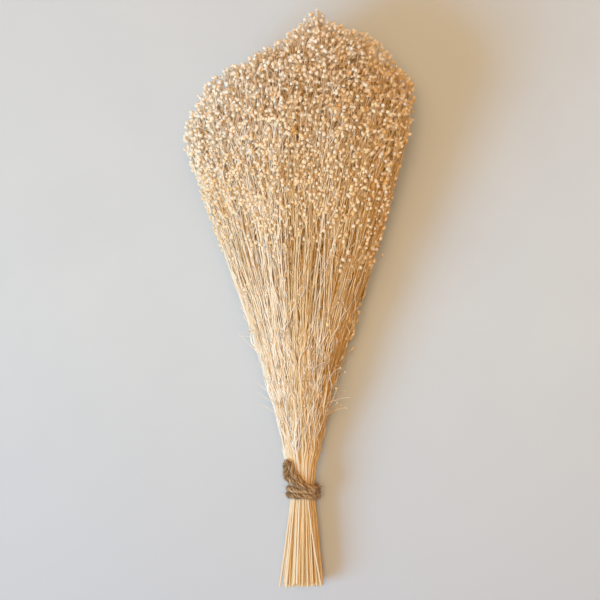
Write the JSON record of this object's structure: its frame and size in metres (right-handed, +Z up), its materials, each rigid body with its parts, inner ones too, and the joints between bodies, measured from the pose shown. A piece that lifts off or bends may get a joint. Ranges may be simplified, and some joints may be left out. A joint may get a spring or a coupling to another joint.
{
  "type": "bundle of broom grass",
  "caption": "Tied bundle of dried broom grass: straight stalks gathered by jute twine, fanning out to a domed head of small round seed pods.",
  "frame": {"origin": "on the surface that the bundle lies on, under the middle of its bounding box", "axes": "+Y along the stalks from the cut ends to the head, +X to the right as seen from above with the head up, +Z up off the surface"},
  "size_m": [0.1876, 0.4499, 0.107],
  "materials": {
    "dry_stalk": "matt, dry straw with paler seed pods",
    "jute_twine": "matt, plied natural jute with loose fibres"
  },
  "bodies": {
    "root": {"grass_tuft_01": "dry_stalk", "grass_tuft_02": "dry_stalk", "grass_tuft_03": "dry_stalk", "grass_tuft_04": "dry_stalk", "grass_tuft_05": "dry_stalk", "grass_tuft_06": "dry_stalk", "grass_tuft_07": "dry_stalk", "grass_tuft_08": "dry_stalk", "grass_tuft_09": "dry_stalk", "grass_tuft_10": "dry_stalk", "grass_tuft_11": "dry_stalk", "grass_tuft_12": "dry_stalk", "grass_tuft_13": "dry_stalk", "grass_tuft_14": "dry_stalk", "grass_tuft_15": "dry_stalk", "grass_tuft_16": "dry_stalk", "grass_tuft_17": "dry_stalk", "grass_tuft_18": "dry_stalk", "grass_tuft_19": "dry_stalk", "grass_tuft_20": "dry_stalk", "grass_tuft_21": "dry_stalk", "grass_tuft_22": "dry_stalk", "grass_tuft_23": "dry_stalk", "grass_tuft_24": "dry_stalk", "grass_tuft_25": "dry_stalk", "grass_tuft_26": "dry_stalk", "grass_tuft_27": "dry_stalk", "grass_tuft_28": "dry_stalk", "grass_tuft_29": "dry_stalk", "grass_tuft_30": "dry_stalk", "grass_tuft_31": "dry_stalk", "grass_tuft_32": "dry_stalk", "grass_tuft_33": "dry_stalk", "grass_tuft_34": "dry_stalk", "grass_tuft_35": "dry_stalk", "grass_tuft_36": "dry_stalk", "grass_tuft_37": "dry_stalk", "grass_tuft_38": "dry_stalk", "grass_tuft_39": "dry_stalk", "grass_tuft_40": "dry_stalk", "grass_tuft_41": "dry_stalk", "grass_tuft_42": "dry_stalk", "grass_tuft_43": "dry_stalk", "grass_tuft_44": "dry_stalk", "grass_tuft_45": "dry_stalk", "grass_tuft_46": "dry_stalk", "grass_tuft_47": "dry_stalk", "grass_tuft_48": "dry_stalk", "twine_tie": "jute_twine"}
  },
  "joints": []
}
